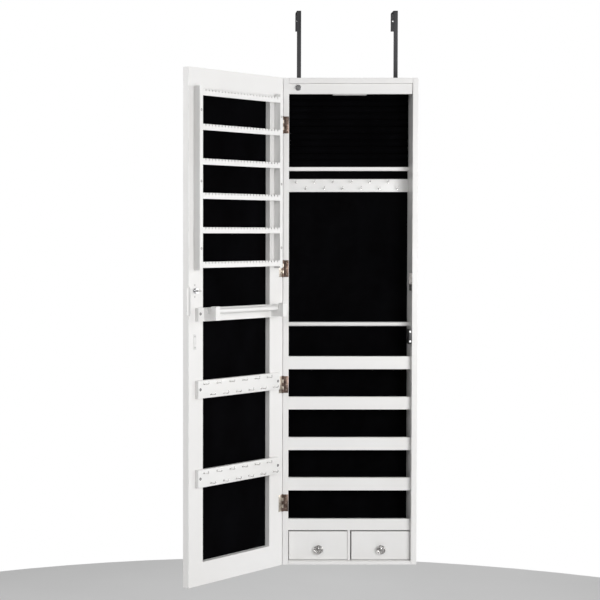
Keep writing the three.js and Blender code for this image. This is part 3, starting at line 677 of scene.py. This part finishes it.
def swell(thing, pinned):
    """Blows a closed mesh up a little like a filled cover, holding the pinned points."""
    start = [vertex.co.copy() for vertex in thing.data.vertices]
    group = thing.vertex_groups.new(name="held")
    group.add([i for i, point in enumerate(start) if pinned(point)], 1.0, "ADD")
    cloth = thing.modifiers.new("cloth", "CLOTH")
    cloth.settings.quality = 5
    cloth.settings.use_pressure = True
    cloth.settings.uniform_pressure_force = ROLL_PRESSURE
    cloth.settings.effector_weights.gravity = 0
    cloth.settings.vertex_group_mass = "held"
    scene = bpy.context.scene
    for step in range(1, 21):
        scene.frame_set(step)
    apply_modifiers(thing)
    for vertex, origin in zip(thing.data.vertices, start):
        move = vertex.co - origin
        if move.length > ROLL_SWELL_CAP:
            vertex.co = origin + move.normalized() * ROLL_SWELL_CAP
    scene.frame_set(1)


def build_ring_cushion():
    box = Box("ring_cushion")
    pitch = box.size.z / ROLLS
    base_front = box.hi.y - CUSHION_BASE_T
    depth = base_front - box.lo.y
    length = box.size.x - ROLL_END_GAP
    roll = roll_mesh(length, depth, pitch * ROLL_START)
    bm = bmesh.new()
    for k in range(ROLLS):
        start = len(bm.verts)
        bm.from_mesh(roll)
        bm.verts.ensure_lookup_table()
        flip = -1 if k % 2 else 1
        seed = Vector((k * 3.7, 0, 0))
        centre = Vector((box.mid.x, base_front - depth / 2 + ROLL_SINK, box.lo.z + (k + 0.5) * pitch))
        for vert in bm.verts[start:]:
            along = Vector((vert.co.x * 14, 0, 0)) + seed
            dent = noise.noise(along) * ROLL_DENT
            crease = noise.noise(vert.co * 90 + seed) * ROLL_CREASE
            vert.co = centre + Vector((vert.co.x * flip, vert.co.y + crease, vert.co.z + dent))
        if flip < 0:
            bmesh.ops.reverse_faces(bm, faces=[f for f in bm.faces if f.verts[0].index >= start])
        bm.verts.index_update()
    bpy.data.meshes.remove(roll)
    rolls = piece("ring_cushion_rolls", bm, VELVET, "cabinet",
                  replaced=("ring_cushion",), smooth_deg=180)

    bm = bmesh.new()
    slab(bm, (box.lo.x, base_front, box.lo.z), box.hi, TRIM_ROUND)
    piece("ring_cushion_base", bm, VELVET, "cabinet")


# ---------------------------------------------------------------- hooks and their strips

def hook_path(root, outward, reach, rise):
    """A hook's centre line: straight out of the face, a round bend, and an upturned tip."""
    straight = reach - HOOK_WIRE_R - HOOK_BEND_R
    points = [root + BACK * outward * distance for distance in (-HOOK_ROOT, 2 * MM, straight * 0.6)]
    centre = root + BACK * outward * straight + UP * HOOK_BEND_R
    for i in range(7):
        angle = math.pi / 2 * i / 6
        sideways = BACK * outward * HOOK_BEND_R * math.sin(angle)
        points.append(centre + sideways - UP * HOOK_BEND_R * math.cos(angle))
    points.append(root + BACK * outward * (straight + HOOK_BEND_R) + UP * (rise - HOOK_WIRE_R))
    return points


def build_hook_strip(node, space, body, outward, plate_name):
    box = Box(node, space)
    tip = HOOK_REACH + HOOK_CAD_WIRE_R
    lo, hi = box.lo.copy(), box.hi.copy()
    if outward > 0:
        face_y = hi.y = box.hi.y - tip
    else:
        face_y = lo.y = box.lo.y + tip
    places = hook_places(node, space, face_y, outward)
    bm = bmesh.new()
    slab(bm, lo, hi, PANEL_ROUND)
    piece(plate_name, bm, TRIM_PAINT, body, space, replaced=(node,))

    bm = bmesh.new()
    for x, z, hook_reach, rise in places:
        root = Vector((x, face_y, z))
        wire(bm, hook_path(root, outward, hook_reach, rise), HOOK_WIRE_R, (1, 0, 0))
        rim = rounded_end(HOOK_FLANGE_R, HOOK_FLANGE_T, HOOK_FLANGE_T * 0.6, 3)
        flange = [(0, -FLANGE_ROOT), (HOOK_FLANGE_R, -FLANGE_ROOT), *rim, (0, HOOK_FLANGE_T)]
        turned(bm, flange, aim(root, BACK * outward), 20)
    piece(plate_name + "_hooks", bm, HOOK_METAL, body, space)
    return lo, hi


# ---------------------------------------------------------------- rods

def build_rods():
    box = Box("scarf_rod")
    radius = box.size.z / 2
    bm = bmesh.new()
    place = aim((box.lo.x, box.mid.y, box.mid.z), (1, 0, 0))
    dowel(bm, place, radius, box.size.x, SCARF_ROD_ROUND)
    piece("scarf_rail", bm, TRIM_PAINT, "cabinet", replaced=("scarf_rod",))

    box = Box("bracelet_rod", DOOR)
    radius = box.size.z / 2
    bm = bmesh.new()
    place = aim((box.lo.x, box.mid.y, box.mid.z), (1, 0, 0))
    dowel(bm, place, radius, box.size.x, BRACELET_ROD_ROUND)
    piece("bracelet_dowel", bm, TRIM_PAINT, "door", DOOR, replaced=("bracelet_rod",))


# ---------------------------------------------------------------- hinges

def build_hinge(node, body, space, flat_y, outward, first, with_pin, finish):
    """A hinge leaf: plate with countersunk screws, rolled knuckles and, on one leaf, the pin."""
    box = Box(node, space)
    axis_x, axis_y = (0.0, 0.0)
    if space is CABINET:
        axis_x, axis_y = HINGE["pos_m"][:2]
    knuckle_r = axis_x - box.lo.x
    pin_extra = PIN_OVERHANG if with_pin else 0.0
    low, high = box.lo.z + pin_extra, box.hi.z - pin_extra
    pitch = (high - low) / KNUCKLES
    y0, y1 = sorted((flat_y, flat_y + outward * LEAF_T))

    bm = bmesh.new()
    plate_x = axis_x + knuckle_r + LEAF_CLEAR
    slab(bm, (plate_x, y0, low), (box.hi.x, y1, high), LEAF_ROUND, 2)
    for k in range(first, KNUCKLES, 2):
        z0, z1 = low + k * pitch + KNUCKLE_CLEAR, low + (k + 1) * pitch - KNUCKLE_CLEAR
        dowel(bm, aim((axis_x, axis_y, z0), UP), knuckle_r, z1 - z0, KNUCKLE_ROUND, 28)
        slab(bm, (axis_x + knuckle_r * 0.5, y0, z0), (plate_x + 0.4 * MM, y1, z1), 0.1 * MM, 1)
    if with_pin:
        head = [
            (0, -PIN_HEAD_ROOT), (PIN_HEAD_R, -PIN_HEAD_ROOT),
            *rounded_end(PIN_HEAD_R, PIN_HEAD_T, PIN_HEAD_ROUND, 4), (0, PIN_HEAD_T),
        ]
        for end, way in ((low, -1), (high, 1)):
            turned(bm, head, aim((axis_x, axis_y, end), UP * way), 24)
    piece(f"{node}_plate", bm, finish, body, space, replaced=(node,))

    bm = bmesh.new()
    screw_x = (plate_x + box.hi.x) / 2 + HINGE_SCREW_SHIFT
    middle = (low + high) / 2
    face = y1 if outward > 0 else y0
    for offset in (-HINGE_SCREW_SPREAD, 0, HINGE_SCREW_SPREAD):
        seat = (screw_x, face - outward * HINGE_SCREW_SUNK, middle + offset)
        place = aim(seat, BACK * outward)
        screw_head(bm, place, HINGE_SCREW_R, HINGE_SCREW_DOME)
    piece(f"{node}_screws", bm, HINGE_SCREW_METAL, body, space)


def build_hinges():
    cabinet_side = Box("side_panel_right").lo.y - LEAF_LIFT
    door_side = door_face() + LEAF_LIFT
    for i in range(1, HINGES + 1):
        cabinet_leaf, door_leaf = f"hinge_cabinet_leaf_{i}", f"hinge_door_leaf_{i}"
        build_hinge(cabinet_leaf, "cabinet", CABINET, cabinet_side, -1, 0, True, HINGE_METAL)
        # The door leaf gets the lighter bronze that carries a painted reflection.
        build_hinge(door_leaf, "door", DOOR, door_side, 1, 1, False, BRONZE_PAINTED_REFLECTION)


# ---------------------------------------------------------------- screws

def screws(name, places, direction, radius, body, space=CABINET, material=None):
    bm = bmesh.new()
    for place in places:
        screw_head(bm, aim(place, direction), radius)
    piece(name, bm, material or SCREW_METAL, body, space)


def build_screws(strips):
    for node in ("rack_side_hinge", "rack_side_free"):
        side = Box(node, DOOR)
        places = [(side.mid.x, side.hi.y, side.hi.z - drop) for drop in RACK_SCREW_DROPS]
        screws(f"{node}_screws", places, BACK, SCREW_R, "door", DOOR)
    for name, (lo, hi) in strips.items():
        middle = (lo.z + hi.z) / 2
        places = [(x, hi.y, middle) for x in (lo.x + STRIP_SCREW_INSET, hi.x - STRIP_SCREW_INSET)]
        screws(f"{name}_screws", places, BACK, STRIP_SCREW_R, "door", DOOR, BLACK_SCREW_METAL)
    bar = Box("bracelet_bar_bracket", DOOR)
    plate_y = strips["hook_plate_lower"][1].y
    places = [(x, plate_y, bar.mid.z) for x in (bar.lo.x + STRIP_SCREW_INSET, bar.hi.x - STRIP_SCREW_INSET)]
    screws("bracelet_bar_screws", places, BACK, STRIP_SCREW_R, "door", DOOR, BLACK_SCREW_METAL)

    plate = Box("catch_plate", DOOR)
    heights = (plate.lo.z + PLATE_SCREW_MARGIN, plate.hi.z - PLATE_SCREW_MARGIN)
    places = [(plate.mid.x, plate.hi.y, z) for z in heights]
    screws("catch_plate_screws", places, BACK, SMALL_SCREW_R, "door", DOOR)

    lock = Box("lock_body", DOOR)
    places = [(lock.mid.x, door_face(), lock.mid.z + way * LOCK_SCREW_OFFSET) for way in (-1, 1)]
    screws("lock_screws", places, BACK, SMALL_SCREW_R, "door", DOOR)

    strike = Box("lock_strike")
    heights = (strike.lo.z + STRIKE_SCREW_MARGIN, strike.hi.z - STRIKE_SCREW_MARGIN)
    places = [(strike.hi.x - STRIKE_SCREW_X, strike.hi.y - STRIKE_SCREW_Y, z) for z in heights]
    screws("lock_strike_screws", places, (-1, 0, 0), SMALL_SCREW_R, "cabinet")


# ---------------------------------------------------------------- drawers

def build_knob(side):
    """A cut crystal on a turned chrome collar."""
    node = f"drawer_{side}_knob"
    box = Box(node)
    body = f"drawer_{side}"
    seat = Vector((box.mid.x, box.hi.y, box.mid.z))
    out = aim(seat, FRONT)
    reach = box.size.y
    radius = box.size.z / 2
    rings = (
        (0.50, 1.00, 8, 0.0), (0.80, 0.86, 8, 0.5), (1.00, 0.62, 16, 0.0),
        (0.99, 0.54, 16, 0.5), (0.72, 0.34, 8, 0.0), (0.42, 0.18, 8, 0.5),
    )
    bm = bmesh.new()
    for share, height, sides, shift in rings:
        for i in range(sides):
            angle = 2 * math.pi * (i + shift) / sides
            bm.verts.new(out @ Vector((
                radius * share * math.cos(angle), radius * share * math.sin(angle), reach * height,
            )))
    hull = bmesh.ops.convex_hull(bm, input=bm.verts)
    spare = [item for item in hull["geom_interior"] if isinstance(item, bmesh.types.BMVert)]
    bmesh.ops.delete(bm, geom=spare, context="VERTS")
    bmesh.ops.dissolve_limit(bm, angle_limit=math.radians(1), verts=bm.verts, edges=bm.edges)
    piece(f"crystal_knob_{side}", bm, CRYSTAL, body, replaced=(node,), smooth_deg=2)

    bm = bmesh.new()
    profile = [
        (0, 0), (COLLAR_R, 0), (COLLAR_R, 0.7 * MM), (COLLAR_R * 0.86, 1.2 * MM),
        (COLLAR_R * 0.72, 1.5 * MM), (COLLAR_R * 0.7, COLLAR_T), (COLLAR_R * 0.62, COLLAR_T + 0.3 * MM),
        (0, COLLAR_T + 0.3 * MM),
    ]
    turned(bm, profile, out, 40)
    piece(f"knob_collar_{side}", bm, CHROME, body)


def build_lining(side):
    """Velvet inside a drawer: a floor and four walls with soft top edges."""
    box = Box(f"drawer_{side}_box")
    lo = box.lo + Vector((DRAWER_WALL, DRAWER_WALL, DRAWER_FLOOR))
    hi = box.hi - Vector((DRAWER_WALL, DRAWER_WALL, LINING_DROP))
    lo += Vector((LINING_GAP, LINING_GAP, LINING_GAP))
    hi -= Vector((LINING_GAP, LINING_GAP, 0))
    t = LINING_T
    bm = bmesh.new()
    slab(bm, lo, (hi.x, hi.y, lo.z + t), t * 0.4, 2)
    slab(bm, (lo.x, lo.y, lo.z + t), (lo.x + t, hi.y, hi.z), t * 0.4, 2)
    slab(bm, (hi.x - t, lo.y, lo.z + t), (hi.x, hi.y, hi.z), t * 0.4, 2)
    slab(bm, (lo.x + t, lo.y, lo.z + t), (hi.x - t, lo.y + t, hi.z), t * 0.4, 2)
    slab(bm, (lo.x + t, hi.y - t, lo.z + t), (hi.x - t, hi.y, hi.z), t * 0.4, 2)
    piece(f"drawer_{side}_lining", bm, VELVET, f"drawer_{side}")


# ---------------------------------------------------------------- lamp, switch and lock

def build_lamp():
    box = Box("lamp_housing")
    case_z = box.lo.z + LENS_DROP
    bm = bmesh.new()
    slab(bm, (box.lo.x, box.lo.y, case_z), box.hi, LAMP_ROUND, 4)
    for x in (-box.size.x * 0.36, box.size.x * 0.36):
        for k in range(RIDGES):
            ridge = box.lo.y + RIDGE_START + k * RIDGE_PITCH
            slab(bm, (x - RIDGE_HALF, ridge, case_z - RIDGE_PROUD),
                 (x + RIDGE_HALF, ridge + RIDGE_W, case_z + RIDGE_ROOT), RIDGE_ROUND, 2)
    piece("lamp_case", bm, WHITE_PLASTIC, "cabinet", replaced=("lamp_housing",))

    bm = bmesh.new()
    slab(bm, (-LENS_HALF, box.lo.y + LENS_MARGIN, box.lo.z),
         (LENS_HALF, box.hi.y - LENS_MARGIN, case_z + LENS_OVERLAP), LENS_ROUND, 5)
    piece("lamp_lens", bm, LENS_PLASTIC, "cabinet")


def build_switch():
    box = Box("switch_bezel")
    out = aim((box.mid.x, box.hi.y, box.mid.z), FRONT)
    outer, reach = box.size.z / 2, box.size.y
    bore = BUTTON_BORE_R
    ring = [
        (bore, 0), (outer, 0), (outer, reach * 0.35), (outer * 0.97, reach * 0.6),
        (outer * 0.9, reach * 0.85), (outer * 0.82, reach), (bore + 0.5 * MM, reach),
        (bore + 0.1 * MM, reach * 0.9), (bore, reach * 0.75),
    ]
    bm = bmesh.new()
    turned(bm, ring, out, 48, closed=True)
    piece("switch_ring", bm, CHROME, "cabinet", replaced=("switch_bezel",))

    box = Box("switch_button")
    radius, thickness = box.size.z / 2, box.size.y
    out = aim((box.mid.x, box.hi.y, box.mid.z), FRONT)
    rim = rounded_end(radius, thickness * 0.86, 0.5 * MM)
    bm = bmesh.new()
    profile = [(0, 0), (radius, 0), *rim, (radius * 0.5, thickness * 0.96), (0, thickness)]
    turned(bm, profile, out, 48)
    piece("switch_cap", bm, GREY_PLASTIC, "switch", replaced=("switch_button",))


def build_lock():
    """The lock's sleeve, flanged on the mirror side and threaded with a nut on the inner side."""
    box = Box("lock_body", DOOR)
    inner_face = door_face()
    flange_r = box.size.z / 2
    front, back = box.lo.y, box.hi.y
    place = aim((box.mid.x, 0, box.mid.z), BACK)
    sleeve = [
        (SLEEVE_BORE_R, front), (flange_r * 0.9, front), (flange_r, front + 0.35 * MM),
        (flange_r, front + FLANGE_T), (SLEEVE_R, front + FLANGE_T), (SLEEVE_R, inner_face),
    ]
    height = inner_face
    while height < back - 2 * THREAD_PITCH:
        sleeve += [(SLEEVE_R - THREAD_DEPTH, height + 0.2 * MM), (SLEEVE_R, height + 0.5 * MM)]
        height += THREAD_PITCH
    sleeve += [(SLEEVE_R - 0.5 * MM, back), (SLEEVE_BORE_R, back)]
    nut_bore, nut_r = SLEEVE_R - 0.2 * MM, SLEEVE_R + NUT_RIM
    nut_low, nut_high = inner_face + 0.05 * MM, inner_face + NUT_T
    nut = [
        (nut_bore, nut_low), (nut_r, nut_low), (nut_r, nut_high - 0.4 * MM),
        (nut_r - 0.5 * MM, nut_high), (nut_bore, nut_high),
    ]
    bm = bmesh.new()
    turned(bm, sleeve, place, 48, closed=True)
    turned(bm, nut, place, 6, closed=True)
    piece("lock_sleeve", bm, CHROME, "door", DOOR, replaced=("lock_body",))


def build_catch():
    """A black magnet housing with two steel pole pieces on its front and a screw on its side."""
    box = Box("magnetic_catch")
    bm = bmesh.new()
    slab(bm, (box.lo.x, box.lo.y + POLE_PROUD, box.lo.z), box.hi, CATCH_ROUND, 4)
    piece("catch_housing", bm, BLACK_PLASTIC, "cabinet", replaced=("magnetic_catch",))

    bm = bmesh.new()
    for low in (box.lo.z + POLE_INSET, box.hi.z - POLE_INSET - POLE_H):
        slab(bm, (box.lo.x + POLE_MARGIN, box.lo.y, low),
             (box.hi.x - POLE_MARGIN, box.lo.y + POLE_D, low + POLE_H), POLE_ROUND, 2)
    piece("catch_poles", bm, PLATE_METAL, "cabinet")
    place = (box.lo.x + CATCH_SCREW_SUNK, box.mid.y + CATCH_SCREW_SHIFT, box.mid.z)
    screws("catch_screw", [place], (-1, 0, 0), SMALL_SCREW_R, "cabinet")


# ---------------------------------------------------------------- camera, light and floor

def build_camera():
    data = bpy.data.cameras.new("camera")
    camera = bpy.data.objects.new("camera", data)
    bpy.context.scene.collection.objects.link(camera)
    bpy.context.scene.camera = camera
    camera.location = CAMERA_PLACE
    camera.rotation_euler = (math.radians(90 - CAMERA_DROP_DEG), 0, 0)
    data.sensor_width = 36
    data.lens = CAMERA_LENS
    data.shift_x, data.shift_y = CAMERA_SHIFT
    data.clip_start = 0.05
    data.clip_end = 60


def area_light(name, place, target, size, power):
    data = bpy.data.lights.new(name, "AREA")
    data.shape = "RECTANGLE"
    data.size, data.size_y = size
    data.energy = power
    light = bpy.data.objects.new(name, data)
    light.location = place
    light.rotation_euler = (Vector(target) - Vector(place)).to_track_quat("-Z", "Y").to_euler()
    bpy.context.scene.collection.objects.link(light)


def build_studio():
    scene = bpy.context.scene
    scene.view_settings.view_transform = "Standard"
    world = bpy.data.worlds.new("studio")
    scene.world = world
    world.use_nodes = True
    tree = world.node_tree
    sky = tree.nodes["Background"]
    sky.inputs["Color"].default_value = (1, 1, 1, 1)
    seen = tree.nodes.new("ShaderNodeBackground")
    seen.inputs["Color"].default_value = (1, 1, 1, 1)
    seen.inputs["Strength"].default_value = 1.0
    height = tree.nodes.new("ShaderNodeSeparateXYZ")
    tree.links.new(tree.nodes.new("ShaderNodeTexCoord").outputs["Generated"], height.inputs[0])
    fade = tree.nodes.new("ShaderNodeMapRange")
    for name, number in WORLD_FADE.items():
        fade.inputs[name].default_value = number
    tree.links.new(height.outputs["Z"], fade.inputs["Value"])
    tree.links.new(fade.outputs[0], sky.inputs["Strength"])
    choice = tree.nodes.new("ShaderNodeMixShader")
    tree.links.new(tree.nodes.new("ShaderNodeLightPath").outputs["Is Camera Ray"], choice.inputs[0])
    tree.links.new(sky.outputs[0], choice.inputs[1])
    tree.links.new(seen.outputs[0], choice.inputs[2])
    tree.links.new(choice.outputs[0], tree.nodes["World Output"].inputs["Surface"])

    for name, (place, target, size, power) in SOFTBOXES.items():
        area_light(name, place, target, size, power)

    bm = bmesh.new()
    bmesh.ops.create_circle(bm, cap_ends=True, segments=96, radius=FLOOR_R)
    mesh = bpy.data.meshes.new("floor")
    bm.to_mesh(mesh)
    bm.free()
    floor = bpy.data.objects.new("floor", mesh)
    floor.location = (0, 0, FLOOR_Z)
    scene.collection.objects.link(floor)
    finish = Finish("pale_floor", {"Specular IOR Level": 0.1})
    clouds = finish.spread(finish.noise(1.2, 3.0), 0.0, 1.0)
    finish.set("Base Color", finish.blend(clouds, (0.66, 0.66, 0.66), (0.70, 0.70, 0.70)))
    finish.set("Roughness", finish.spread(finish.noise(4.0), 0.6, 0.8))
    mesh.materials.append(finish.material)


# ---------------------------------------------------------------- assembly

build_camera()
build_studio()
finish_boards()
build_ring_cushion()
strip_boxes = {
    "hook_plate_lower": build_hook_strip("hook_strip_lower", DOOR, "door", 1, "hook_plate_lower"),
    "hook_plate_upper": build_hook_strip("hook_strip_upper", DOOR, "door", 1, "hook_plate_upper"),
}
build_hook_strip("necklace_hook_strip", CABINET, "cabinet", -1, "necklace_plate")
build_rods()
build_hinges()
build_screws(strip_boxes)
for drawer in ("left", "right"):
    build_knob(drawer)
    build_lining(drawer)
build_lamp()
build_switch()
build_lock()
build_catch()
